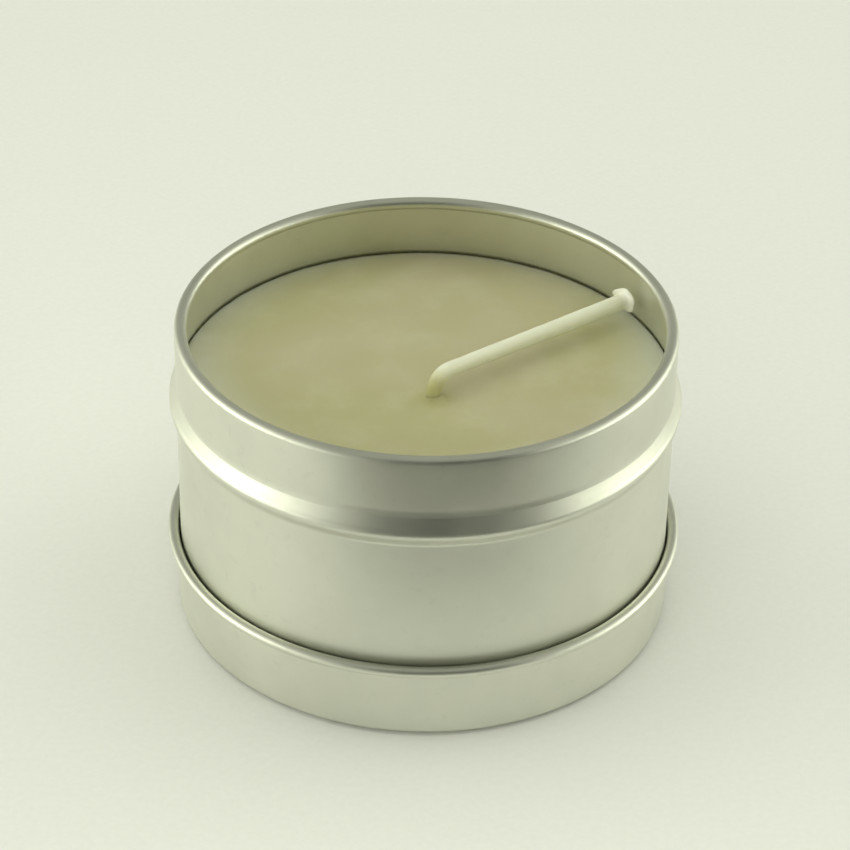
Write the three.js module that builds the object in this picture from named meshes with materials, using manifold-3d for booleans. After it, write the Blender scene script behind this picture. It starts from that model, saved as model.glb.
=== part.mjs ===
// A candle in a round seamless tin, stood in its own slip lid, which lies upside down as a coaster.
// Millimetres, +Z up. The origin is the centre of the lid's underside, where the object stands.
import * as THREE from "three";
import { mergeVertices } from "three/addons/utils/BufferGeometryUtils.js";
import Module from "manifold-3d";

// Tinplate
const TIN_SHEET = 0.28;
const LID_SHEET = 0.28;

// Tin
const TIN_RADIUS = 39.5;
const TIN_HEIGHT = 50.4;
const TIN_CURL = 2.0; // diameter of the edge rolled inwards at the rim
const TIN_HEEL = 1.6; // outside radius of the corner under the wall
const TIN_BASE_RECESS = 0.8; // how far the middle of the base stands above its ring
const TIN_BASE_RING = 3.4; // width of the ring, measured in from the wall
const BEAD_DEPTH = 13.0; // from the rim down to the middle of the bead that stops the lid
const BEAD_HEIGHT = 5.3;
const BEAD_PROUD = 1.1;

// Lid
const LID_SLIP = 0.22; // radial clearance between the lid's skirt and the tin's wall
const LID_HEIGHT = 13.4; // from the ring round its panel to the top of its curled edge
const LID_CURL = 1.8; // diameter of the edge rolled outwards
const LID_HEEL = 0.8;
const LID_PANEL_RISE = 0.6; // how far the panel stands proud of the ring round it
const LID_RING = 4.0;

// Wax
const HEADSPACE = 11.0; // from the rim down to the wax
const WAX_GAP = 0.1; // the wax shrinks this far from the tin as it sets
const DIMPLE_RADIUS = 5.5;
const DIMPLE_DEPTH = 0.8;

// Wick, and what holds it to the bottom of the tin
const WICK_X = 1.3; // the wick stands a little off the tin's axis
const WICK_Y = -5.6;
const WICK_RADIUS = 1.2;
const CORE_RADIUS = 0.45;
const CORE_GAP = 0.06;
const WICK_GAP = 0.12; // round the wick, where the wax and the tab hold it
const WICK_STAND = 0.75; // how far it stands straight up out of the wax
const WICK_BEND = 90.9; // degrees, from upright to the way it lies, just below level
const WICK_BEND_RADIUS = 3.3;
const WICK_CLEARANCE = 1.08; // from the middle of its cut end to the tin's wall
const WICK_TURN = 38.4; // degrees, from +X to the way the wick lies
const WICK_SPLIT = 0.3; // gap in the middle of the bend, where the two stretches part
const CAP_RADIUS = 1.95; // the mushroomed end
const CAP_LENGTH = 1.3;
const CAP_FLARE = 1.4; // length of the taper under the cap
const TAB_RADIUS = 10.0;
const TAB_SHEET = 0.25;
const TAB_NECK_HEIGHT = 6.0;
const TAB_FILLET = 0.7;
const STICKER_RADIUS = 9.4;
const STICKER_HEIGHT = 0.8;
const STICKER_EDGE = 0.2;

// Between two pieces that touch
const SEAT = 0.05;

// Facets
const ROUND_STEPS = 48;
const TAB_STEPS = 32;
const WICK_STEPS = 12;
const BEAD_STEPS = 10;
const ARC_STEP = 28; // degrees, the most that one facet of a small arc turns
const RAMP_STEPS = 4;
const BEND_STEPS = 8;
const BORE_OVERRUN = 1; // a cutting tool runs this far past the face that it opens

const wasm = await Module();
wasm.setup();

const degrees = THREE.MathUtils.degToRad;
const at = (r, z) => new THREE.Vector2(r, z);

/** Points of an arc, from one angle to another in degrees, both ends included. */
function arc(r, z, radius, from, to) {
  const steps = Math.max(2, Math.ceil(Math.abs(to - from) / ARC_STEP));
  return Array.from({ length: steps + 1 }, (_, i) => {
    const angle = degrees(from + ((to - from) * i) / steps);
    return at(r + radius * Math.cos(angle), z + radius * Math.sin(angle));
  });
}

/** Points of a smooth step from one point to another. */
function ramp(r0, z0, r1, z1) {
  return Array.from({ length: RAMP_STEPS + 1 }, (_, i) => {
    const share = i / RAMP_STEPS;
    const rise = (1 - Math.cos(Math.PI * share)) / 2;
    return at(r0 + (r1 - r0) * share, z0 + (z1 - z0) * rise);
  });
}

/** The line moved sideways, to its left where the distance is positive. */
function offset(line, distance) {
  return line.map((point, i) => {
    const before = line[Math.max(i - 1, 0)];
    const after = line[Math.min(i + 1, line.length - 1)];
    const a = point.clone().sub(before).normalize();
    const b = after.clone().sub(point).normalize();
    const along = a.clone().add(b).normalize();
    const mitre = Math.max(along.dot(i === 0 ? b : a), 0.5);
    return at(point.x - (along.y * distance) / mitre, point.y + (along.x * distance) / mitre);
  });
}

/** A closed profile: sheet metal of that thickness along its middle line. */
function sheetProfile(middle, thickness) {
  const outside = offset(middle, -thickness / 2);
  const inside = offset(middle, thickness / 2).reverse();
  return [...outside, ...inside];
}

/** A solid of revolution about +Z. The profile has its material on the left as it goes round. */
function turned(profile, steps) {
  const first = profile[0];
  const last = profile[profile.length - 1];
  const onAxis = first.x === 0 && last.x === 0;
  const outline = onAxis ? profile : [...profile, first.clone()];
  return new THREE.LatheGeometry(outline, steps).rotateX(Math.PI / 2);
}

/** The geometry as a solid that can be joined and cut. */
function solid(geometry) {
  const bare = geometry.clone();
  bare.deleteAttribute("normal");
  bare.deleteAttribute("uv");
  const merged = mergeVertices(bare, 1e-4);
  return new wasm.Manifold(
    new wasm.Mesh({
      numProp: 3,
      vertProperties: new Float32Array(merged.attributes.position.array),
      triVerts: new Uint32Array(merged.index.array),
    }),
  );
}

/** A solid's geometry. */
function geometryOf(manifold) {
  const mesh = manifold.getMesh();
  const geometry = new THREE.BufferGeometry();
  geometry.setAttribute("position", new THREE.BufferAttribute(mesh.vertProperties, mesh.numProp));
  geometry.setIndex(new THREE.BufferAttribute(mesh.triVerts, 1));
  geometry.computeVertexNormals();
  return geometry;
}

function piece(name, geometry, color, roughness, metalness) {
  const material = new THREE.MeshStandardMaterial({ color, roughness, metalness });
  const mesh = new THREE.Mesh(geometry, material);
  mesh.name = name;
  return mesh;
}

const tinplate = (name, geometry) => piece(name, geometry, 0xb9bbb0, 0.35, 1);
const cotton = (name, geometry) => piece(name, geometry, 0xdfdfc4, 0.7, 0);

/** The middle of the tin's sheet, from the centre of its base out, up the wall and round the curl. */
function tinLine() {
  const half = TIN_SHEET / 2;
  const wall = TIN_RADIUS - half;
  const ring = TIN_RADIUS - TIN_BASE_RING;
  const step = 2 * TIN_BASE_RECESS;
  const bead = TIN_HEIGHT - BEAD_DEPTH;
  const curl = TIN_CURL / 2;
  const line = [at(0, TIN_BASE_RECESS + half)];
  line.push(...ramp(ring - step, TIN_BASE_RECESS + half, ring, half));
  line.push(...arc(TIN_RADIUS - TIN_HEEL, TIN_HEEL, TIN_HEEL - half, -90, 0));
  for (let i = 0; i <= BEAD_STEPS; i++) {
    const share = i / BEAD_STEPS - 0.5;
    const proud = (BEAD_PROUD * (1 + Math.cos(2 * Math.PI * share))) / 2;
    line.push(at(wall + proud, bead + share * BEAD_HEIGHT));
  }
  line.push(...arc(TIN_RADIUS - curl, TIN_HEIGHT - curl, curl - half, 0, 300));
  return line;
}

/** The middle of the lid's sheet as it lies upside down, from the centre of its panel out. */
function lidLine() {
  const half = LID_SHEET / 2;
  const inner = TIN_RADIUS + LID_SLIP;
  const outer = inner + LID_SHEET;
  const ring = outer - LID_RING;
  const step = 2 * LID_PANEL_RISE;
  const curl = LID_CURL / 2;
  const top = LID_PANEL_RISE + LID_HEIGHT;
  return [
    at(0, half),
    ...ramp(ring - step, half, ring, LID_PANEL_RISE + half),
    ...arc(outer - LID_HEEL, LID_PANEL_RISE + LID_HEEL, LID_HEEL - half, -90, 0),
    ...arc(inner + curl, top - curl, curl - half, 180, -115),
  ];
}

function lid() {
  return tinplate("lid", turned(sheetProfile(lidLine(), LID_SHEET), ROUND_STEPS));
}

function tinBody() {
  return tinplate("tin_body", turned(sheetProfile(tinLine(), TIN_SHEET), ROUND_STEPS));
}

/** Heights above the tin's base. */
const FLOOR = TIN_BASE_RECESS + TIN_SHEET;
const WAX_TOP = TIN_HEIGHT - HEADSPACE;
const TAB_BASE = FLOOR + SEAT + STICKER_HEIGHT + SEAT;
const WICK_FOOT = TAB_BASE + TAB_SHEET;
const NECK_RADIUS = WICK_RADIUS + WICK_GAP;

/** The wax's outer profile: what the tin holds, less the gap, cut off level. */
function waxProfile() {
  const inside = offset(tinLine(), TIN_SHEET / 2 + WAX_GAP);
  const over = inside.findIndex((point) => point.y > WAX_TOP);
  const low = inside[over - 1];
  const high = inside[over];
  const share = (WAX_TOP - low.y) / (high.y - low.y);
  const edge = at(low.x + share * (high.x - low.x), WAX_TOP);
  return [...inside.slice(0, over), edge, at(0, WAX_TOP)];
}

/** What the wax is cast round: the sticker, the tab and its neck, the wick, and the dimple at the top. */
function wickSpace() {
  const tab = TAB_RADIUS + WAX_GAP;
  const tabTop = TAB_BASE + TAB_SHEET + WAX_GAP;
  const neck = NECK_RADIUS + TAB_SHEET + WAX_GAP;
  const neckTop = TAB_BASE + TAB_NECK_HEIGHT + WAX_GAP;
  const bottom = WAX_TOP - DIMPLE_DEPTH;
  const profile = [
    at(0, FLOOR - BORE_OVERRUN),
    at(tab, FLOOR - BORE_OVERRUN),
    at(tab, tabTop),
    at(neck + TAB_FILLET, tabTop),
    at(neck, tabTop + TAB_FILLET),
    at(neck, neckTop),
    at(NECK_RADIUS, neckTop),
    ...ramp(NECK_RADIUS, bottom, DIMPLE_RADIUS, WAX_TOP),
    at(DIMPLE_RADIUS, WAX_TOP + BORE_OVERRUN),
    at(0, WAX_TOP + BORE_OVERRUN),
  ];
  return turned(profile, TAB_STEPS).translate(WICK_X, WICK_Y, 0);
}

function waxFill() {
  const wax = solid(turned(waxProfile(), ROUND_STEPS)).subtract(solid(wickSpace()));
  return piece("wax_fill", geometryOf(wax), 0xd8d3a8, 0.4, 0);
}

function sticker() {
  const profile = [
    at(0, 0),
    at(STICKER_RADIUS - STICKER_EDGE, 0),
    at(STICKER_RADIUS, STICKER_EDGE),
    at(STICKER_RADIUS, STICKER_HEIGHT - STICKER_EDGE),
    at(STICKER_RADIUS - STICKER_EDGE, STICKER_HEIGHT),
    at(0, STICKER_HEIGHT),
  ];
  const mesh = piece("wick_sticker", turned(profile, TAB_STEPS), 0xe8e8e2, 0.9, 0);
  mesh.position.z = FLOOR + SEAT;
  return mesh;
}

/** The stamped tab: a round foot, drawn up into a neck that is crimped on the wick. */
function sustainer() {
  const half = TAB_SHEET / 2;
  const neck = NECK_RADIUS + half;
  const middle = [
    at(neck, TAB_NECK_HEIGHT),
    ...arc(neck + TAB_FILLET, half + TAB_FILLET, TAB_FILLET, 180, 270),
    at(TAB_RADIUS, half),
  ];
  const profile = sheetProfile(middle, TAB_SHEET);
  const mesh = tinplate("wick_sustainer", turned(profile, TAB_STEPS));
  mesh.position.z = TAB_BASE;
  return mesh;
}

const BORE = CORE_RADIUS + CORE_GAP;

/** Distances along the wick, which count as heights while it is straight. */
const BEND_START = WAX_TOP + WICK_STAND;
const BEND_END = BEND_START + WICK_BEND_RADIUS * degrees(WICK_BEND);
const BEND_MIDDLE = (BEND_START + BEND_END) / 2;
const WICK_END = BEND_END + tailLength();

/** How far the wick runs past its bend, so that its cut end keeps clear of the tin's wall. */
function tailLength() {
  const stand = at(WICK_X, WICK_Y);
  const way = at(Math.cos(degrees(WICK_TURN)), Math.sin(degrees(WICK_TURN)));
  const limit = TIN_RADIUS - TIN_SHEET - WICK_CLEARANCE;
  const along = stand.dot(way);
  const reach = Math.sqrt(along ** 2 - stand.lengthSq() + limit ** 2) - along;
  const bend = WICK_BEND_RADIUS * (1 - Math.cos(degrees(WICK_BEND)));
  return (reach - bend) / Math.sin(degrees(WICK_BEND));
}

/** A side of the straight wick, with the points that it needs to bend. */
function side(radius, from, to) {
  const joints = Array.from({ length: BEND_STEPS + 1 }, (_, i) => {
    return BEND_START + ((BEND_END - BEND_START) * i) / BEND_STEPS;
  });
  const between = joints.filter((along) => along > from && along < to);
  return [from, ...between, to].map((along) => at(radius, along));
}

/** The straight wick's geometry bent over towards +X. */
function bent(geometry) {
  const position = geometry.attributes.position;
  const point = new THREE.Vector3();
  for (let i = 0; i < position.count; i++) {
    point.fromBufferAttribute(position, i);
    const along = Math.max(point.z - BEND_START, 0);
    const angle = Math.min(along / WICK_BEND_RADIUS, degrees(WICK_BEND));
    const beyond = along - angle * WICK_BEND_RADIUS;
    const across = WICK_BEND_RADIUS - point.x;
    const foot = Math.min(point.z, BEND_START);
    const x = WICK_BEND_RADIUS - across * Math.cos(angle) + beyond * Math.sin(angle);
    const z = foot + across * Math.sin(angle) + beyond * Math.cos(angle);
    position.setXYZ(i, x, point.y, z);
  }
  geometry.computeVertexNormals();
  return geometry;
}

function core(name, from, to) {
  const profile = [at(0, from), ...side(CORE_RADIUS, from, to), at(0, to)];
  return piece(name, bent(turned(profile, WICK_STEPS)), 0xefeee2, 0.9, 0);
}

/** The stretch of wick from the tab up to the middle of the bend, as the braid and its core. */
function lowerWick() {
  const top = BEND_MIDDLE - WICK_SPLIT / 2;
  const outside = side(WICK_RADIUS, WICK_FOOT, top);
  const inside = side(BORE, WICK_FOOT, top).reverse();
  const braid = turned([...outside, ...inside], WICK_STEPS);
  return [cotton("wick_braid_lower", bent(braid)), core("wick_core_lower", WICK_FOOT, top)];
}

/** The stretch from there on, whose cut end has mushroomed shut over the core. */
function upperWick() {
  const start = BEND_MIDDLE + WICK_SPLIT / 2;
  const stop = WICK_END - CAP_LENGTH;
  const flare = stop - CAP_FLARE;
  const round = CAP_LENGTH / 2;
  const profile = [
    ...side(WICK_RADIUS, start, flare).slice(0, -1),
    ...ramp(WICK_RADIUS, flare, CAP_RADIUS, stop),
    ...arc(CAP_RADIUS - round, WICK_END - round, round, 0, 90),
    at(0, WICK_END),
    at(0, stop),
    ...side(BORE, start, stop).reverse(),
  ];
  const braid = cotton("wick_braid_upper", bent(turned(profile, WICK_STEPS)));
  return [braid, core("wick_core_upper", start, stop - SEAT)];
}

/** Everything that stands on the wick's own axis. */
function wickAssembly() {
  const group = new THREE.Group();
  group.add(sticker(), sustainer(), ...lowerWick(), ...upperWick());
  group.position.set(WICK_X, WICK_Y, 0);
  group.rotation.z = degrees(WICK_TURN);
  return group;
}

/** The filled tin, seated on the ring inside the lid. */
function filledTin() {
  const group = new THREE.Group();
  group.add(tinBody(), waxFill(), wickAssembly());
  group.position.z = LID_PANEL_RISE + LID_SHEET + SEAT;
  return group;
}

const candleTin = new THREE.Group();
candleTin.add(lid(), filledTin());

export default candleTin;
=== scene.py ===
"""A candle in a round slip-lid tin that stands in its upturned lid.

Metres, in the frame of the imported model: +Z up, and the camera looks from -Y.
"""

import math

import bpy
import numpy as np
from mathutils import Matrix, Vector, noise


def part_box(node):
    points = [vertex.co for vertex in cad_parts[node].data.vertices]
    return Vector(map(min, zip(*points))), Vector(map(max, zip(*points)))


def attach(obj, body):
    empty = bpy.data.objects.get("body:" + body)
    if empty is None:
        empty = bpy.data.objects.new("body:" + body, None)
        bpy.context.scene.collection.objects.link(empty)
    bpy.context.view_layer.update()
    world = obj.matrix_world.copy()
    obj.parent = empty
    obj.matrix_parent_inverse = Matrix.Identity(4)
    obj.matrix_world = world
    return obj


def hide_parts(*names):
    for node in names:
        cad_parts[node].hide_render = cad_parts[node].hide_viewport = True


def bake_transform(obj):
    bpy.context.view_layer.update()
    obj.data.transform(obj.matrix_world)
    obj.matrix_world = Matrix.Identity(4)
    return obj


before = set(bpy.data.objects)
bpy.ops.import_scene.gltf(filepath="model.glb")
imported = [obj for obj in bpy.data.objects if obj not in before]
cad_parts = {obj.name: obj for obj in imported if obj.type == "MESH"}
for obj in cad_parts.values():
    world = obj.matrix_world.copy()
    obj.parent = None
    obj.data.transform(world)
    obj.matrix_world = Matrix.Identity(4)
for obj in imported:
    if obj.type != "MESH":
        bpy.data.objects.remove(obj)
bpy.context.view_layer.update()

MM = 0.001

# Camera: angles in degrees, lens and sensor in millimetres
CAMERA_ELEVATION = 33.55
CAMERA_DISTANCE = 0.48825
CAMERA_ROLL = 1.0
CAMERA_LENS = 129.26
SENSOR = 36.0
AIM_BELOW_RIM = 0.01995
CLIP_START = 0.01
CLIP_END = 20

# Tinplate sheet
SHEET = 0.28 * MM
TURN_STEPS = 288

# Tin, measured from the underside of its base
TIN_CURL = 2.0 * MM
TIN_HEEL = 1.6 * MM
TIN_RECESS = 0.8 * MM
TIN_RING = 3.4 * MM
BEAD_DEPTH = 13.0 * MM
BEAD_HEIGHT = 5.3 * MM
BEAD_PROUD = 1.1 * MM
BEAD_CROWN = 0.35  # share of the upper half over which it turns from round to straight
BEAD_STRAIGHT = 0.9  # how straight it is above that, where 1 is a straight line

# Lid
LID_SLIP = 0.22 * MM
LID_CURL = 1.8 * MM
LID_HEEL = 0.8 * MM
LID_RISE = 0.6 * MM
LID_RING = 4.0 * MM
PANEL_INNER = 0.4  # share of the ring's radius where a flat panel's first ring of points lies

# Wax
WAX_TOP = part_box("wax_fill")[1].z
WAX_STEPS = 360
WAX_LIFT = 0.4 * MM  # of its bottom, clear of the tin's base
WAX_GAP = 0.015 * MM
WAX_CHAMFER = (1.4 * MM, 0.965)  # height, and share of the radius, at its bottom corner
WAX_SIDE = 1.2 * MM  # from its top down to where its side is plain
DIMPLE_RADIUS = 5.5 * MM
DIMPLE_DEPTH = 0.8 * MM
WIDE_DIMPLE = 0.10 * MM
MENISCUS = 1.0 * MM
MENISCUS_REACH = 0.55 * MM
WAVES = ((0.05 * MM, 45, 0.3), (0.015 * MM, 260, 1.7))  # height, waves per metre, place in the noise
EDGE_FROM = 0.985  # share of the radius where the edge begins to drop
EDGE_WIDTH = 0.015
EDGE_DROP = 0.05 * MM
EDGE_RAGGED = 0.035 * MM

# Wick. Distances along it are counted from the start of its bend.
WICK_AT = (1.3 * MM, -5.6 * MM)
WICK_RADIUS = 1.2 * MM
CORE_RADIUS = 0.42 * MM
WICK_STAND = 0.75 * MM
WICK_BEND = math.radians(90.9)
BEND_RADIUS = 3.3 * MM
WICK_TAIL = 36.9 * MM
WICK_TURN = math.radians(38.4)
WICK_SINK = 1.6 * MM
WICK_TRIM = 0.5 * MM
BRAID_PITCH = 6.5 * MM
BRAID_GIRTH = 7.54  # millimetres round the wick, for the braid's pattern
SWELL = 0.14  # how much thicker the wick grows towards its end, as a share
ELBOW_BULGE = 0.18 * MM
CAP_RADIUS = 1.95 * MM
CAP_SWELL = 0.85 * MM
HOOK_AT = math.radians(58)
HOOK_OUT = 0.32 * MM
HOOK_BACK = 1.3 * MM
CUT_SPAN = 1.0 * MM  # the rings over the cut face are spread over this distance
BEND_LENGTH = BEND_RADIUS * WICK_BEND
BEND_RINGS = 34
WICK_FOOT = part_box("wick_braid_lower")[0].z - WAX_TOP - WICK_STAND
WICK_START = -WICK_STAND - WICK_SINK
WICK_END = BEND_LENGTH + WICK_TAIL - WICK_TRIM

# Two points near the wick's bend: millimetres forward and up from its bend's start
BENDS_FROM = (-0.5, -2.0)
BENDS_TO = (6.0, 9.0)

# Where the wick's colour changes, millimetres along it: the darker foot, partly wax stain and partly
# painted shade, then the whiter cut end, partly bare cotton and partly painted light
SOAKED_AND_SHADED = (1.0, 4.4)
BARE_END_AND_PAINTED_LIGHT = (39.6, 41.0)

# Colours
TINPLATE = (0.76, 0.77, 0.68)
TAB_STEEL = (0.72, 0.72, 0.68)
DULL = 0.93  # a share of the tint, where tinplate is a little clouded
MARKED = 0.86  # and where it has been handled
WAX_COOL = (0.45, 0.435, 0.25)
WAX_WARM = (0.49, 0.452, 0.30)
WAX_FROST = (0.58, 0.57, 0.42)
# Partly a wax stain and partly painted shade round the wick's foot
WAX_STAIN_AND_SHADE = (0.49, 0.465, 0.22)
# Partly a whitish film on the wax and partly painted light cast off the wall
WAX_BLOOM_AND_WALL_LIGHT = (0.64, 0.66, 0.55)
COTTON_LIGHT = (0.77, 0.78, 0.66)
COTTON_DEEP = (0.64, 0.65, 0.51)
# Partly wax stain and partly painted shade at the wick's foot
COTTON_SOAKED_AND_SHADED = (0.52, 0.50, 0.27)
# Partly bare cotton and partly painted light at the wick's cut end
COTTON_BARE_AND_PAINTED_LIGHT = (0.98, 0.98, 0.88)
WAX_IOR = 1.44

# Wax's look, by distance from the wick, where it is stained and darkened with painted shade, and from the
# middle of the paler ring by the wall, which is partly a whitish film and partly painted light
STAIN_AND_SHADE_REACH = (0.0012, 0.0045)
BLOOM_AND_LIGHT_MIDDLE = (0.0, 0.007, 0.0)
BLOOM_AND_LIGHT_REACH = (0.028, 0.0395)

# Stage
LIGHT_TINT = (1.0, 1.02, 0.87)
FLOOR_HALF = 4.0
FLAG_HEIGHT = 0.0008
FLAG_OUTLINE = (
    (-0.062, -0.090),
    (0.020, -0.084),
    (0.095, -0.066),
    (0.17, -0.05),
    (0.45, -0.25),
    (0.45, -0.8),
    (-0.35, -0.8),
    (-0.12, -0.25),
)
SOFTBOXES = (  # name, place, size, power
    ("softbox_top", (0.0, 0.08, 0.85), (1.4, 1.1), 4.7),
    ("softbox_front", (-0.15, -0.75, 0.50), (0.8, 0.5), 2.2),
)

# Sky. Each four angles, in degrees, are a window: it rises from the first to the second and falls
# from the third to the fourth.
SKY = 0.37
FRONT = 0.05
LOW_BAND = 2.0
STRIP = 1.9
SIDE_GLOW = 1.0
OPENING_AZIMUTHS = (-40, -12, 36, 62)
OPENING_TOP = (35, 60)
SKY_PATCHES = (  # azimuths, elevations, strength
    ((-138, -98, -60, -28), (-90, -60, 4, 24), LOW_BAND),
    ((42, 74, 115, 145), (-90, -60, 4, 24), LOW_BAND),
    ((-102, -88, -72, -56), (-90, -60, 4, 20), STRIP),
    ((62, 80, 108, 124), (-90, -60, 2, 16), 0.4 * STRIP),
    ((-130, -112, -80, -60), (-90, -60, 25, 55), SIDE_GLOW),
    ((75, 92, 118, 135), (-90, -60, 25, 55), SIDE_GLOW),
)


# ---------------------------------------------------------------- helpers


def smooth(t):
    """A smooth step from 0 to 1."""
    t = min(max(t, 0.0), 1.0)
    return t * t * (3 - 2 * t)


def arc(r, z, radius, start, end, steps):
    """Points of an arc in a profile, from one angle to another in degrees, both ends included."""
    angles = np.radians(np.linspace(start, end, steps + 1))
    return [(r + radius * math.cos(a), z + radius * math.sin(a)) for a in angles]


def ramp(r0, z0, r1, z1, steps=10):
    """Points of a smooth step from one point of a profile to another."""
    shares = [i / steps for i in range(steps + 1)]
    return [
        (r0 + (r1 - r0) * s, z0 + (z1 - z0) * (1 - math.cos(math.pi * s)) / 2)
        for s in shares
    ]


def offset(line, distance):
    """The profile moved sideways, to its left where the distance is positive."""
    points = np.array(line)
    along = np.gradient(points, axis=0)
    along /= np.linalg.norm(along, axis=1)[:, None]
    sideways = np.stack([-along[:, 1], along[:, 0]], axis=1)
    return [tuple(p) for p in points + sideways * distance]


def new_object(name, mesh):
    """The mesh, smooth shaded, as an object in the scene."""
    mesh.polygons.foreach_set("use_smooth", [True] * len(mesh.polygons))
    mesh.update()
    obj = bpy.data.objects.new(name, mesh)
    bpy.context.scene.collection.objects.link(obj)
    return obj


def new_mesh(name, verts, faces):
    mesh = bpy.data.meshes.new(name)
    mesh.from_pydata([tuple(v) for v in verts], [], faces)
    mesh.validate()
    return new_object(name, mesh)


def turned(name, line, thickness):
    """Sheet metal of that thickness along a middle line that starts on the axis, turned about +Z."""
    outside = offset(line, -thickness / 2)
    inside = offset(line, thickness / 2)
    outside[0] = (0.0, outside[0][1])
    inside[0] = (0.0, inside[0][1])
    loop = outside[1:] + inside[:0:-1]
    verts, faces = [], []
    for i in range(TURN_STEPS):
        a = 2 * math.pi * i / TURN_STEPS
        verts += [(r * math.cos(a), r * math.sin(a), z) for r, z in loop]
    n = len(loop)
    for i in range(TURN_STEPS):
        j = (i + 1) % TURN_STEPS
        for k in range(n - 1):
            faces.append((i * n + k, j * n + k, j * n + k + 1, i * n + k + 1))
    low, high = len(verts), len(verts) + 1
    verts += [(0, 0, outside[0][1]), (0, 0, inside[0][1])]
    for i in range(TURN_STEPS):
        j = (i + 1) % TURN_STEPS
        faces.append((low, j * n, i * n))
        faces.append((high, i * n + n - 1, j * n + n - 1))
    return new_mesh(name, verts, faces)


# ---------------------------------------------------------------- camera


def make_camera():
    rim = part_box("tin_body")[1].z
    el, roll = math.radians(CAMERA_ELEVATION), math.radians(CAMERA_ROLL)
    right = Vector((1, 0, 0))
    up = Vector((0, math.sin(el), math.cos(el)))
    back = Vector((0, -math.cos(el), math.sin(el)))
    x = right * math.cos(roll) + up * math.sin(roll)
    y = up * math.cos(roll) - right * math.sin(roll)
    place = Vector((0, 0, rim - AIM_BELOW_RIM)) + back * CAMERA_DISTANCE
    data = bpy.data.cameras.new("camera")
    data.lens = CAMERA_LENS
    data.sensor_width = SENSOR
    data.clip_start = CLIP_START
    data.clip_end = CLIP_END
    camera = bpy.data.objects.new("camera", data)
    rotation = Matrix((x, y, back)).transposed().to_4x4()
    camera.matrix_world = Matrix.Translation(place) @ rotation
    bpy.context.scene.collection.objects.link(camera)
    bpy.context.scene.camera = camera


# ---------------------------------------------------------------- materials


class Nodes:
    """A material's node tree, and short ways to add to it."""

    def __init__(self, name):
        self.material = bpy.data.materials.new(name)
        self.material.use_nodes = True
        self.tree = self.material.node_tree
        self.shader = self.tree.nodes["Principled BSDF"]
        coordinates = self.tree.nodes.new("ShaderNodeTexCoord")
        self.place = coordinates.outputs["Object"]

    def link(self, a, b):
        self.tree.links.new(a, b)

    def noise(self, scale, detail=3.0, roughness=0.5, place=None, distortion=0.0):
        node = self.tree.nodes.new("ShaderNodeTexNoise")
        node.inputs["Scale"].default_value = scale
        node.inputs["Detail"].default_value = detail
        node.inputs["Roughness"].default_value = roughness
        node.inputs["Distortion"].default_value = distortion
        self.link(place or self.place, node.inputs["Vector"])
        return node.outputs["Fac"]

    def remap(self, value, low, high, to_low, to_high, kind="SMOOTHSTEP"):
        node = self.tree.nodes.new("ShaderNodeMapRange")
        node.interpolation_type = kind
        for name, number in (
            ("From Min", low),
            ("From Max", high),
            ("To Min", to_low),
            ("To Max", to_high),
        ):
            node.inputs[name].default_value = number
        self.link(value, node.inputs["Value"])
        return node.outputs["Result"]

    def math(self, operation, a, b=0.0):
        node = self.tree.nodes.new("ShaderNodeMath")
        node.operation = operation
        for slot, value in zip(node.inputs, (a, b)):
            if isinstance(value, (int, float)):
                slot.default_value = value
            else:
                self.link(value, slot)
        return node.outputs["Value"]

    def mix(self, factor, a, b):
        """A colour between a and b. Each of the three is a number, a colour or another node's output."""
        node = self.tree.nodes.new("ShaderNodeMix")
        node.data_type = "RGBA"
        sockets = {s.identifier: s for s in node.inputs}
        for key, value in (("Factor_Float", factor), ("A_Color", a), ("B_Color", b)):
            if isinstance(value, (int, float)):
                sockets[key].default_value = value
            elif isinstance(value, tuple):
                sockets[key].default_value = (*value, 1.0)
            else:
                self.link(value, sockets[key])
        return [s for s in node.outputs if s.identifier == "Result_Color"][0]

    def distance(self, point, weights):
        """How far the shaded point is from a point of the object, each axis counted by its weight."""
        flat = self.tree.nodes.new("ShaderNodeVectorMath")
        flat.operation = "MULTIPLY"
        self.link(self.place, flat.inputs[0])
        flat.inputs[1].default_value = weights
        node = self.tree.nodes.new("ShaderNodeVectorMath")
        node.operation = "DISTANCE"
        self.link(flat.outputs["Vector"], node.inputs[0])
        node.inputs[1].default_value = point
        return node.outputs["Value"]

    def polar(self, round_scale, height_scale, slant=1.7):
        """Coordinates that run slowly round the axis and fast up it, for brushing round a turned piece.

        The height counts the radius too, times the slant, so that a flat panel is brushed as well."""
        split = self.tree.nodes.new("ShaderNodeSeparateXYZ")
        self.link(self.place, split.inputs["Vector"])
        angle = self.math("ARCTAN2", split.outputs["Y"], split.outputs["X"])
        square = self.math(
            "ADD",
            self.math("POWER", split.outputs["X"], 2.0),
            self.math("POWER", split.outputs["Y"], 2.0),
        )
        radius = self.math("SQRT", square)
        join = self.tree.nodes.new("ShaderNodeCombineXYZ")
        across = self.math("MULTIPLY", self.math("SINE", angle), round_scale)
        ahead = self.math("MULTIPLY", self.math("COSINE", angle), round_scale)
        along = self.math("ADD", split.outputs["Z"], self.math("MULTIPLY", radius, slant))
        self.link(across, join.inputs["X"])
        self.link(ahead, join.inputs["Y"])
        self.link(self.math("MULTIPLY", along, height_scale), join.inputs["Z"])
        return join.outputs["Vector"]

    def bump(self, height, strength, distance, before=None):
        node = self.tree.nodes.new("ShaderNodeBump")
        node.inputs["Strength"].default_value = strength
        node.inputs["Distance"].default_value = distance
        self.link(height, node.inputs["Height"])
        if before is not None:
            self.link(before, node.inputs["Normal"])
        return node.outputs["Normal"]

    def set(self, **values):
        """Sets or links the shader's sockets, named with _ for a space, and gives the material back."""
        for key, value in values.items():
            socket = self.shader.inputs[key.replace("_", " ")]
            if isinstance(value, (int, float)):
                socket.default_value = value
            elif isinstance(value, tuple):
                socket.default_value = (*value, 1.0) if socket.type == "RGBA" else value
            else:
                self.link(value, socket)
        return self.material


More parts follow.
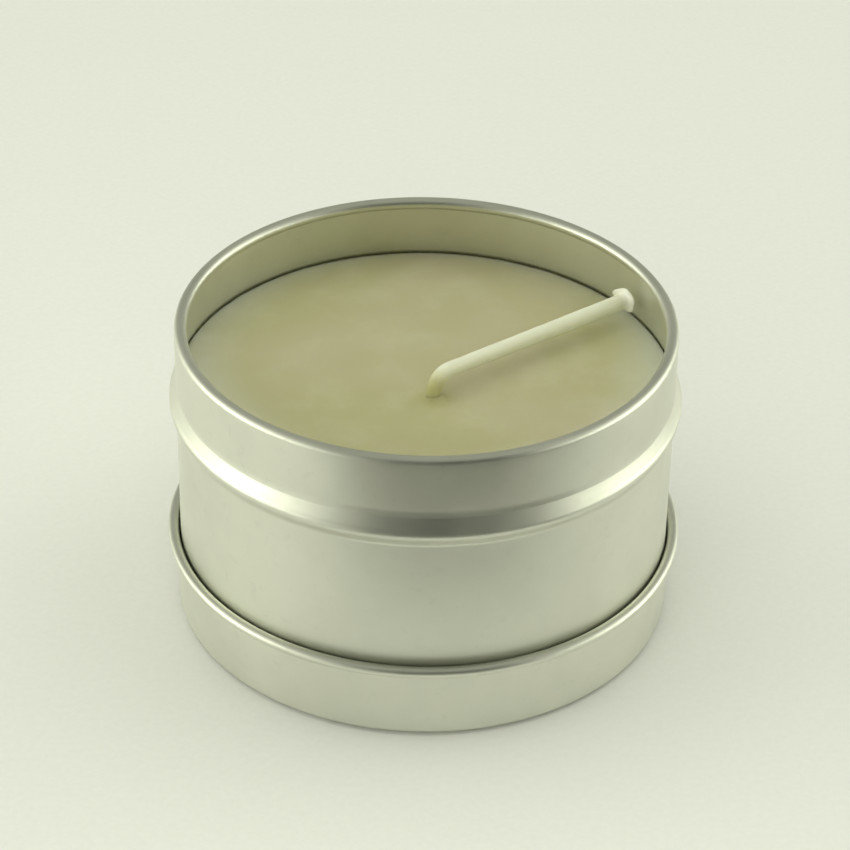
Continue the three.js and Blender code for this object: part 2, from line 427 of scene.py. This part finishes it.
def tinplate(name, tint=TINPLATE, rough=(0.40, 0.46)):
    """Bright satin tinplate: a fine grain, faint brushing round the piece, and handling marks."""
    n = Nodes(name)
    grain = n.noise(5200.0, 2.0, 0.6)
    brushing = n.noise(1.0, 4.0, 0.65, place=n.polar(9.0, 5200.0))
    cloud = n.noise(55.0, 3.0, 0.55)
    marks = n.noise(420.0, 4.0, 0.6, distortion=0.6)
    dull = tuple(DULL * c for c in tint)
    marked = tuple(MARKED * c for c in tint)
    color = n.mix(n.remap(cloud, 0.35, 0.65, 0.0, 1.0), dull, tint)
    color = n.mix(n.remap(marks, 0.56, 0.74, 0.0, 0.35), color, marked)
    rough_now = n.math(
        "ADD",
        n.remap(brushing, 0.3, 0.7, *rough, "LINEAR"),
        n.remap(cloud, 0.3, 0.7, -0.015, 0.03),
    )
    normal = n.bump(brushing, 0.12, 0.00003)
    normal = n.bump(grain, 0.20, 0.00003, normal)
    return n.set(Base_Color=color, Metallic=1.0, Roughness=rough_now, Normal=normal)


def wax():
    """Pale yellow container wax: cloudy, a little translucent, with a soft gloss."""
    n = Nodes("candle_wax")
    broad = n.noise(24.0, 2.0, 0.5, distortion=0.4)
    frost = n.noise(130.0, 4.0, 0.6)
    fine = n.noise(2600.0, 2.0, 0.5)
    color = n.mix(n.remap(broad, 0.38, 0.62, 0.0, 1.0), WAX_COOL, WAX_WARM)
    color = n.mix(n.remap(frost, 0.42, 0.72, 0.0, 0.30), color, WAX_FROST)
    # Darker and more olive round the wick's foot: partly a wax stain, partly painted shade of the dimple
    # there
    near = n.distance((*WICK_AT, 0.0), (1.0, 1.0, 0.0))
    color = n.mix(n.remap(near, *STAIN_AND_SHADE_REACH, 0.7, 0.0), color, WAX_STAIN_AND_SHADE)
    # Paler near the wall: partly a whitish film on the wax, partly painted light cast off the wall onto
    # it. Its middle is set towards the back, where the wax lies in shade, so there is less of it there
    out = n.distance(BLOOM_AND_LIGHT_MIDDLE, (1.0, 1.0, 0.0))
    patchy = n.remap(n.noise(60.0, 3.0, 0.6), 0.30, 0.60, 0.35, 1.0)
    bloom_and_wall_light = n.math("MULTIPLY", n.remap(out, *BLOOM_AND_LIGHT_REACH, 0.0, 0.85), patchy)
    color = n.mix(bloom_and_wall_light, color, WAX_BLOOM_AND_WALL_LIGHT)
    normal = n.bump(broad, 0.5, 0.0004)
    normal = n.bump(frost, 0.18, 0.0001, normal)
    normal = n.bump(fine, 0.10, 0.00002, normal)
    return n.set(
        Base_Color=color,
        Roughness=n.remap(frost, 0.3, 0.7, 0.34, 0.46),
        Normal=normal,
        Subsurface_Weight=0.8,
        Subsurface_Radius=(0.006, 0.0056, 0.0036),
        Subsurface_Scale=1.0,
        IOR=WAX_IOR,
    )


def braid_waves(n, uv):
    """The ridges of the braid, which cross each other, over a map in millimetres."""
    waves = []
    for way in (1, -1):
        turn = n.tree.nodes.new("ShaderNodeMapping")
        turn.inputs["Rotation"].default_value = (0, 0, way * math.radians(38))
        n.link(uv, turn.inputs["Vector"])
        wave = n.tree.nodes.new("ShaderNodeTexWave")
        wave.inputs["Scale"].default_value = 1.35
        wave.inputs["Distortion"].default_value = 0.8
        wave.inputs["Detail"].default_value = 1.0
        n.link(turn.outputs["Vector"], wave.inputs["Vector"])
        waves.append(wave.outputs["Fac"])
    return n.math("MAXIMUM", *waves)


def cotton(name):
    """Braided cotton under a skin of wax: darker at its foot, partly from wax stain and partly painted
    shade, and whiter at its cut end, partly bare cotton and partly painted light.
    """
    n = Nodes(name)
    uv = n.tree.nodes.new("ShaderNodeUVMap")
    uv.uv_map = "braid"
    braid = braid_waves(n, uv.outputs["UV"])
    skin = n.noise(500.0, 3.0, 0.5)
    fine = n.noise(3000.0, 3.0, 0.6)
    # Darker in the braid's grooves: painted shade in the creases. The skin's noise varies the tone at
    # random
    ridges = n.remap(braid, 0.2, 0.9, 0.35, 1.0)
    shade = n.math("MULTIPLY", ridges, n.remap(skin, 0.3, 0.7, 0.75, 1.0))
    color = n.mix(shade, COTTON_DEEP, COTTON_LIGHT)
    split = n.tree.nodes.new("ShaderNodeSeparateXYZ")
    n.link(uv.outputs["UV"], split.inputs["Vector"])
    along = split.outputs["X"]
    # The foot is darker and olive: partly soaked with wax, partly painted shade where it stands in the
    # dimple
    color = n.mix(n.remap(along, *SOAKED_AND_SHADED, 1.0, 0.0), color, COTTON_SOAKED_AND_SHADED)
    # The cut end is whiter: partly bare cotton, partly painted light
    color = n.mix(n.remap(along, *BARE_END_AND_PAINTED_LIGHT, 0.0, 1.0), color, COTTON_BARE_AND_PAINTED_LIGHT)
    normal = n.bump(braid, 0.22, 0.00012)
    normal = n.bump(skin, 0.35, 0.00015, normal)
    normal = n.bump(fine, 0.15, 0.00003, normal)
    return n.set(
        Base_Color=color,
        Roughness=n.remap(skin, 0.3, 0.7, 0.38, 0.5),
        Normal=normal,
        Subsurface_Weight=n.remap(along, *BARE_END_AND_PAINTED_LIGHT, 0.85, 0.1),
        Subsurface_Radius=(0.0030, 0.0028, 0.0022),
        Subsurface_Scale=1.0,
        IOR=WAX_IOR,
    )


def plain(name, light, dark, scale):
    """A plain matt stuff with a fine grain, for what stands out of sight in the wax."""
    n = Nodes(name)
    grain = n.noise(scale, 4.0, 0.6)
    color = n.mix(n.remap(grain, 0.3, 0.7, 0.0, 1.0), dark, light)
    return n.set(
        Base_Color=color,
        Metallic=0.0,
        Roughness=n.remap(grain, 0.3, 0.7, 0.8, 0.95),
        Normal=n.bump(grain, 0.4, 0.00004),
    )


def dress(obj, material):
    obj.data.materials.clear()
    obj.data.materials.append(material)


# ---------------------------------------------------------------- tin and lid


def bead_proud(share):
    """How proud the bead stands, from -1 at its lower edge to 1 at its upper edge.

    It is round below its crown and nearly straight above it."""
    crown = 0.5 * (1 + math.cos(math.pi * share))
    if share < 0:
        return crown
    return crown + (1 - share - crown) * smooth(share / BEAD_CROWN) * BEAD_STRAIGHT


def tin_line(radius, height):
    """The middle of the tin's sheet, from the centre of its base out, up the wall and round the curl."""
    half = SHEET / 2
    wall = radius - half
    ring = radius - TIN_RING
    curl = TIN_CURL / 2
    bead = height - BEAD_DEPTH
    line = [(0.0, TIN_RECESS + half), (PANEL_INNER * ring, TIN_RECESS + half)]
    line += ramp(ring - 2 * TIN_RECESS, TIN_RECESS + half, ring, half)
    line += arc(radius - TIN_HEEL, TIN_HEEL, TIN_HEEL - half, -90, 0, 12)
    line += [(wall, z) for z in np.linspace(TIN_HEEL, bead - BEAD_HEIGHT / 2, 10)[1:-1]]
    for share in np.linspace(-1, 1, 41):
        z = bead + share * BEAD_HEIGHT / 2
        line.append((wall + BEAD_PROUD * bead_proud(share), z))
    top = bead + BEAD_HEIGHT / 2
    line += [(wall, z) for z in np.linspace(top, height - curl, 8)[1:-1]]
    line += arc(radius - curl, height - curl, curl - half, 0, 300, 40)
    return line


def lid_line(radius, top):
    """The middle of the lid's sheet as it lies upside down, from the centre of its panel out."""
    half = SHEET / 2
    inner = radius + LID_SLIP
    outer = inner + SHEET
    ring = outer - LID_RING
    curl = LID_CURL / 2
    line = [(0.0, half), (PANEL_INNER * ring, half)]
    line += ramp(ring - 2 * LID_RISE, half, ring, LID_RISE + half)
    line += arc(outer - LID_HEEL, LID_RISE + LID_HEEL, LID_HEEL - half, -90, 0, 10)
    wall = np.linspace(LID_RISE + LID_HEEL, top - curl, 8)[1:-1]
    line += [(inner + half, z) for z in wall]
    line += arc(inner + curl, top - curl, curl - half, 180, -115, 40)
    return line


def make_tin(metal):
    """Makes the tin, and gives its outside radius back."""
    low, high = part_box("tin_body")
    radius = high.x - BEAD_PROUD
    tin = turned("tin_shell", tin_line(radius, high.z - low.z), SHEET)
    tin.data.transform(Matrix.Translation((0, 0, low.z)))
    dress(tin, metal)
    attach(tin, "tin")
    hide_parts("tin_body")
    return radius


def make_lid(metal, radius):
    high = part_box("lid")[1]
    lid = turned("lid_shell", lid_line(radius, high.z), SHEET)
    dress(lid, metal)
    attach(lid, "lid")
    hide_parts("lid")


# ---------------------------------------------------------------- wax


def raggedness(a):
    """How far the wax's edge stands back from the wall at an angle, in units of EDGE_RAGGED."""
    ragged = noise.noise(Vector((70 * math.cos(a), 70 * math.sin(a), 4.0)))
    slow = noise.noise(Vector((9 * math.cos(a), 9 * math.sin(a), 9.0)))
    nick = max(0.0, noise.noise(Vector((31 * math.cos(a), 31 * math.sin(a), 2.0))) - 0.25)
    return 0.5 * ragged + 0.4 * slow + 2.5 * nick


def wax_height(x, y, share, edge):
    """The height of the wax: a dimple in a wide dip, a meniscus, slow waves, and a drop at the edge."""
    near = math.hypot(x - WICK_AT[0], y - WICK_AT[1])
    z = WAX_TOP
    z -= 0.35 * DIMPLE_DEPTH * math.exp(-((near / (0.5 * DIMPLE_RADIUS)) ** 2))
    z += MENISCUS * math.exp(-max(near - WICK_RADIUS, 0.0) / MENISCUS_REACH)
    z -= WIDE_DIMPLE * math.exp(-((near / (2.2 * DIMPLE_RADIUS)) ** 2))
    for height, count, place in WAVES:
        z += height * noise.noise(Vector((x * count, y * count, place)))
    if share > EDGE_FROM:
        drop = (share - EDGE_FROM) / EDGE_WIDTH
        z -= EDGE_DROP * drop * drop * (1 + 0.7 * edge)
    return z


def wax_top_rings(inner):
    """The points of the wax's upper face, ring by ring. The rings are close near the wick and the wall."""
    shares = [*np.linspace(0, 0.27, 61)[1:], *np.linspace(0.27, 0.97, 48)[1:]]
    shares += [0.978, 0.985, 0.991, 0.996, 1.0]
    points = []
    for share in shares:
        for i in range(WAX_STEPS):
            a = 2 * math.pi * i / WAX_STEPS
            edge = raggedness(a)
            r = share * (inner - WAX_GAP) - (EDGE_RAGGED * max(edge, -0.3) if share > 0.99 else 0)
            x, y = r * math.cos(a), r * math.sin(a)
            points.append((x, y, wax_height(x, y, share, edge)))
    return points


def wax_side_rings(inner, bottom):
    """The points of the wax's side, down to its bottom corner."""
    height, share = WAX_CHAMFER
    points = []
    for part, z in ((1.0, WAX_TOP - WAX_SIDE), (1.0, bottom + height), (share, bottom)):
        r = part * (inner - 2 * WAX_GAP)
        for i in range(WAX_STEPS):
            a = 2 * math.pi * i / WAX_STEPS
            points.append((r * math.cos(a), r * math.sin(a), z))
    return points


def make_wax(material):
    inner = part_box("tin_body")[1].x - BEAD_PROUD - SHEET
    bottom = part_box("wax_fill")[0].z + WAX_LIFT
    verts = [(0, 0, wax_height(0, 0, 0, 0))]
    verts += wax_top_rings(inner)
    verts += wax_side_rings(inner, bottom)
    rings = (len(verts) - 1) // WAX_STEPS
    verts.append((0, 0, bottom))
    last = len(verts) - 1
    faces = []
    for i in range(WAX_STEPS):
        j = (i + 1) % WAX_STEPS
        faces.append((0, 1 + i, 1 + j))
        for k in range(rings - 1):
            a, b = 1 + k * WAX_STEPS, 1 + (k + 1) * WAX_STEPS
            faces.append((a + i, b + i, b + j, a + j))
        c = 1 + (rings - 1) * WAX_STEPS
        faces.append((c + i, last, c + j))
    body = new_mesh("wax_body", verts, faces)
    dress(body, material)
    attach(body, "tin")
    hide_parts("wax_fill")


# ---------------------------------------------------------------- wick


def wick_frame(along):
    """The wick's middle at a distance along it, and its forward, outward and sideways directions."""
    turn = Vector((math.cos(WICK_TURN), math.sin(WICK_TURN), 0))
    side = Vector((-math.sin(WICK_TURN), math.cos(WICK_TURN), 0))
    start = Vector((WICK_AT[0], WICK_AT[1], WAX_TOP + WICK_STAND))
    angle = min(max(along / BEND_RADIUS, 0.0), WICK_BEND)
    beyond = along - angle * BEND_RADIUS
    forward = turn * math.sin(angle) + Vector((0, 0, math.cos(angle)))
    outward = turn * -math.cos(angle) + Vector((0, 0, math.sin(angle)))
    middle = start + turn * BEND_RADIUS * (1 - math.cos(angle))
    middle += Vector((0, 0, BEND_RADIUS * math.sin(angle)))
    return middle + forward * beyond, forward, outward, side


def tube(name, rings, sides, shape):
    """A closed tube round the wick's line, with its map in millimetres.

    shape gives the radius of a point and how far ahead it is, from its distance along and angle round."""
    verts, faces, coordinates = [], [], []
    for along in rings:
        middle, forward, outward, side = wick_frame(along)
        for k in range(sides):
            a = 2 * math.pi * k / sides
            radius, ahead = shape(along, a)
            across = outward * math.cos(a) + side * math.sin(a)
            verts.append(middle + across * radius + forward * ahead)
    n = len(rings)
    for i in range(n - 1):
        here, there = rings[i] / MM, rings[i + 1] / MM
        for k in range(sides):
            m = (k + 1) % sides
            faces.append((i * sides + k, (i + 1) * sides + k, (i + 1) * sides + m, i * sides + m))
            first, second = k / sides * BRAID_GIRTH, (k + 1) / sides * BRAID_GIRTH
            coordinates += [(here, first), (there, first), (there, second), (here, second)]
    for ring, order in ((0, 1), (n - 1, -1)):
        faces.append([ring * sides + k for k in range(sides)][::order])
        coordinates += [(rings[ring] / MM, 0.5)] * sides
    mesh = bpy.data.meshes.new(name)
    mesh.from_pydata([tuple(v) for v in verts], [], faces)
    layer = mesh.uv_layers.new(name="braid")
    layer.data.foreach_set("uv", [c for pair in coordinates for c in pair])
    return new_object(name, mesh)


def skin(along, a):
    """The braid's outside: three ridges each way, lumps of wax, a slow swell and a fuller elbow."""
    twist = along / BRAID_PITCH * 2 * math.pi
    braid = math.cos(3 * a + twist) * math.cos(3 * a - twist)
    lumps = noise.noise(Vector((along * 160, 1.3 * math.cos(a), 1.3 * math.sin(a))))
    thick = 0.97 + SWELL * smooth(along / WICK_END) + 0.018 * braid + 0.035 * lumps
    radius = WICK_RADIUS * thick * (1 + 0.05 * math.cos(2 * a))
    elbow = math.exp(-(((along - 0.55 * BEND_LENGTH) / (0.4 * BEND_LENGTH)) ** 2))
    return radius + ELBOW_BULGE * elbow * max(0.0, math.cos(a)), 0.0


def cap(along, a):
    """The mushroomed end, which is hooked back on one side."""
    rim = CAP_RADIUS * (1 + 0.05 * math.sin(2 * a + 0.6) + 0.04 * math.sin(5 * a + 1.1))
    base, _ = skin(along, a)
    share = smooth(1 - (WICK_END - along) / CAP_SWELL)
    hook = max(0.0, math.cos(a - HOOK_AT)) ** 4
    return base + (rim - base + HOOK_OUT * hook) * share, -HOOK_BACK * hook * share


def cut_face(along, a):
    """The cut end is frayed and a little hollow. The rings past the end run inward over it."""
    share = 1 - (along - WICK_END) / CUT_SPAN
    radius, back = cap(WICK_END, a)
    fray = noise.noise(Vector((3 * math.cos(a) * share, 3 * math.sin(a) * share, 7.0)))
    face = 0.30 - 0.20 * smooth(1 - share / 0.85) + 0.10 * fray * share
    edge = max(0.0, (share - 0.86) / 0.14)
    ahead = (face - 0.30 * edge * edge) * MM
    return radius * share, back * share + WICK_END - along + ahead


def braid_shape(along, a):
    if along > WICK_END:
        return cut_face(along, a)
    return cap(along, a) if WICK_END - along < CAP_SWELL else skin(along, a)


def core_shape(along, a):
    return CORE_RADIUS * (1 + 0.08 * math.sin(3 * a + along * 2500)), 0.0


def stem_shape(_, a):
    """The same section all the way down."""
    return skin(-3 * WICK_STAND, a)


def blend_ends():
    """Two points near the wick's bend, forward and up from its start by BENDS_FROM and BENDS_TO."""
    stands, forward, outward, _ = wick_frame(0.0)
    return [
        stands + (forward * rise - outward * ahead) * MM for ahead, rise in (BENDS_FROM, BENDS_TO)
    ]


def make_braid(material):
    rings = [
        *np.linspace(WICK_START, 0, 14)[:-1],
        *np.linspace(0, BEND_LENGTH, BEND_RINGS),
        *np.linspace(BEND_LENGTH, WICK_END - 1.2 * CAP_SWELL, 120)[1:],
        *np.linspace(WICK_END - CAP_SWELL, WICK_END, 12),
        *np.linspace(WICK_END, WICK_END + 0.98 * CUT_SPAN, 15)[1:],
    ]
    wick = tube("wick_braid", rings, 48, braid_shape)
    dress(wick, material)
    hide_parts("wick_braid_lower", "wick_braid_upper")
    begins, ends = blend_ends()
    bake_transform(wick)
    return wick


def make_core(material):
    rings = [
        *np.linspace(WICK_FOOT, 0, 30)[:-1],
        *np.linspace(0, BEND_LENGTH, BEND_RINGS),
        *np.linspace(BEND_LENGTH, WICK_END - 1.2 * MM, 40)[1:],
    ]
    core = tube("wick_core", rings, 12, core_shape)
    dress(core, material)
    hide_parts("wick_core_lower", "wick_core_upper")
    begins, ends = blend_ends()
    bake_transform(core)
    return core


def make_stem(material):
    """The wick's stretch down in the wax, which stands still."""
    rings = list(np.linspace(WICK_FOOT, WICK_START + 0.2 * MM, 60))
    stem = tube("wick_stem", rings, 40, stem_shape)
    dress(stem, material)
    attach(stem, "tin")
    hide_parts("wick_braid_lower")


def make_wick(material, core_material):
    wick = make_braid(material)
    core = make_core(core_material)
    wick_frame(-WICK_STAND)[0]
    [tuple(wick_frame(along)[0]) for along in np.linspace(WICK_START, WICK_END, 90)]
    make_stem(material)


# ---------------------------------------------------------------- stage


def make_floor():
    corners = ((-1, -1), (1, -1), (1, 1), (-1, 1))
    verts = [(x * FLOOR_HALF, y * FLOOR_HALF, 0) for x, y in corners]
    floor = new_mesh("floor", verts, [(0, 1, 2, 3)])
    n = Nodes("pale_card")
    grain = n.noise(900.0, 3.0, 0.5)
    color = n.mix(n.remap(grain, 0.3, 0.7, 0.0, 1.0), (0.80, 0.80, 0.79), (0.82, 0.82, 0.81))
    material = n.set(Base_Color=color, Roughness=0.85, Normal=n.bump(grain, 0.1, 0.00005))
    dress(floor, material)


def make_flag():
    """A black card that lies on the floor in front. Only reflections meet it."""
    verts = [(x, y, FLAG_HEIGHT) for x, y in FLAG_OUTLINE]
    flag = new_mesh("flag", verts, [tuple(range(len(verts)))])
    n = Nodes("black_card")
    fleck = n.noise(400.0, 2.0, 0.5)
    color = n.mix(n.remap(fleck, 0.3, 0.7, 0.0, 1.0), (0.09, 0.09, 0.08), (0.12, 0.12, 0.11))
    dress(flag, n.set(Base_Color=color, Roughness=0.9))
    for ray in ("camera", "diffuse", "shadow", "transmission", "volume_scatter"):
        setattr(flag, "visible_" + ray, False)


class Sky:
    """The world's node tree. Azimuth is in degrees from the front, positive towards +X."""

    def __init__(self):
        world = bpy.data.worlds.new("studio")
        bpy.context.scene.world = world
        world.use_nodes = True
        self.tree = world.node_tree
        split = self.tree.nodes.new("ShaderNodeSeparateXYZ")
        direction = self.tree.nodes.new("ShaderNodeTexCoord").outputs["Generated"]
        self.tree.links.new(direction, split.inputs["Vector"])
        front = self.math("MULTIPLY", split.outputs["Y"], -1.0)
        angle = self.math("ARCTAN2", split.outputs["X"], front)
        self.azimuth = self.math("MULTIPLY", angle, 180 / math.pi)
        rise = self.math("ARCSINE", split.outputs["Z"])
        self.elevation = self.math("MULTIPLY", rise, 180 / math.pi)

    def math(self, operation, a, b=0.0):
        node = self.tree.nodes.new("ShaderNodeMath")
        node.operation = operation
        for slot, value in zip(node.inputs, (a, b)):
            if isinstance(value, (int, float)):
                slot.default_value = value
            else:
                self.tree.links.new(value, slot)
        return node.outputs["Value"]

    def step(self, value, start, end, low=0.0, high=1.0):
        node = self.tree.nodes.new("ShaderNodeMapRange")
        node.interpolation_type = "SMOOTHSTEP"
        for name, number in (
            ("From Min", start),
            ("From Max", end),
            ("To Min", low),
            ("To Max", high),
        ):
            node.inputs[name].default_value = number
        self.tree.links.new(value, node.inputs["Value"])
        return node.outputs["Result"]

    def window(self, value, a, b, c, d):
        """Rises from a to b, and falls from c to d."""
        return self.math("MULTIPLY", self.step(value, a, b), self.step(value, c, d, 1.0, 0.0))

    def patch(self, azimuths, elevations, strength):
        across = self.window(self.azimuth, *azimuths)
        shape = self.math("MULTIPLY", across, self.window(self.elevation, *elevations))
        return self.math("MULTIPLY", shape, strength)

    def show(self, level, color):
        background = self.tree.nodes["Background"]
        background.inputs["Color"].default_value = (*color, 1.0)
        self.tree.links.new(level, background.inputs["Strength"])


def make_world():
    """A pale tent with brighter sides low down and a dark opening in front."""
    sky = Sky()
    across = sky.window(sky.azimuth, *OPENING_AZIMUTHS)
    opening = sky.math("MULTIPLY", across, sky.step(sky.elevation, *OPENING_TOP, 1.0, 0.0))
    level = sky.math("ADD", sky.math("MULTIPLY", opening, FRONT - SKY), SKY)
    for patch in SKY_PATCHES:
        level = sky.math("ADD", level, sky.patch(*patch))
    sky.show(level, LIGHT_TINT)


def make_softboxes():
    """A wide softbox overhead and a fill in front. The metal does not mirror them."""
    for name, place, size, power in SOFTBOXES:
        data = bpy.data.lights.new(name, "AREA")
        data.shape = "RECTANGLE"
        data.size, data.size_y = size
        data.energy = power
        data.color = LIGHT_TINT
        box = bpy.data.objects.new(name, data)
        facing = Vector(place).to_track_quat("Z", "Y").to_matrix().to_4x4()
        box.matrix_world = Matrix.Translation(place) @ facing
        box.visible_glossy = False
        bpy.context.scene.collection.objects.link(box)


def dress_hidden_pieces():
    """New materials for the two CAD solids that stand in the wax."""
    tab_steel = tinplate("tab_steel", TAB_STEEL, (0.3, 0.4))
    foam = plain("sticker_foam", (0.82, 0.82, 0.78), (0.70, 0.70, 0.66), 900.0)
    dress(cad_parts["wick_sustainer"], tab_steel)
    dress(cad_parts["wick_sticker"], foam)


make_camera()
make_wick(
    cotton("waxed_cotton"),
    plain("core_paper", (0.88, 0.86, 0.80), (0.74, 0.72, 0.66), 1500.0),
)
metal = tinplate("tinplate")
tin_radius = make_tin(metal)
make_lid(metal, tin_radius)
make_wax(wax())
dress_hidden_pieces()
make_floor()
make_flag()
make_world()
make_softboxes()
bpy.context.scene.view_settings.view_transform = "Standard"
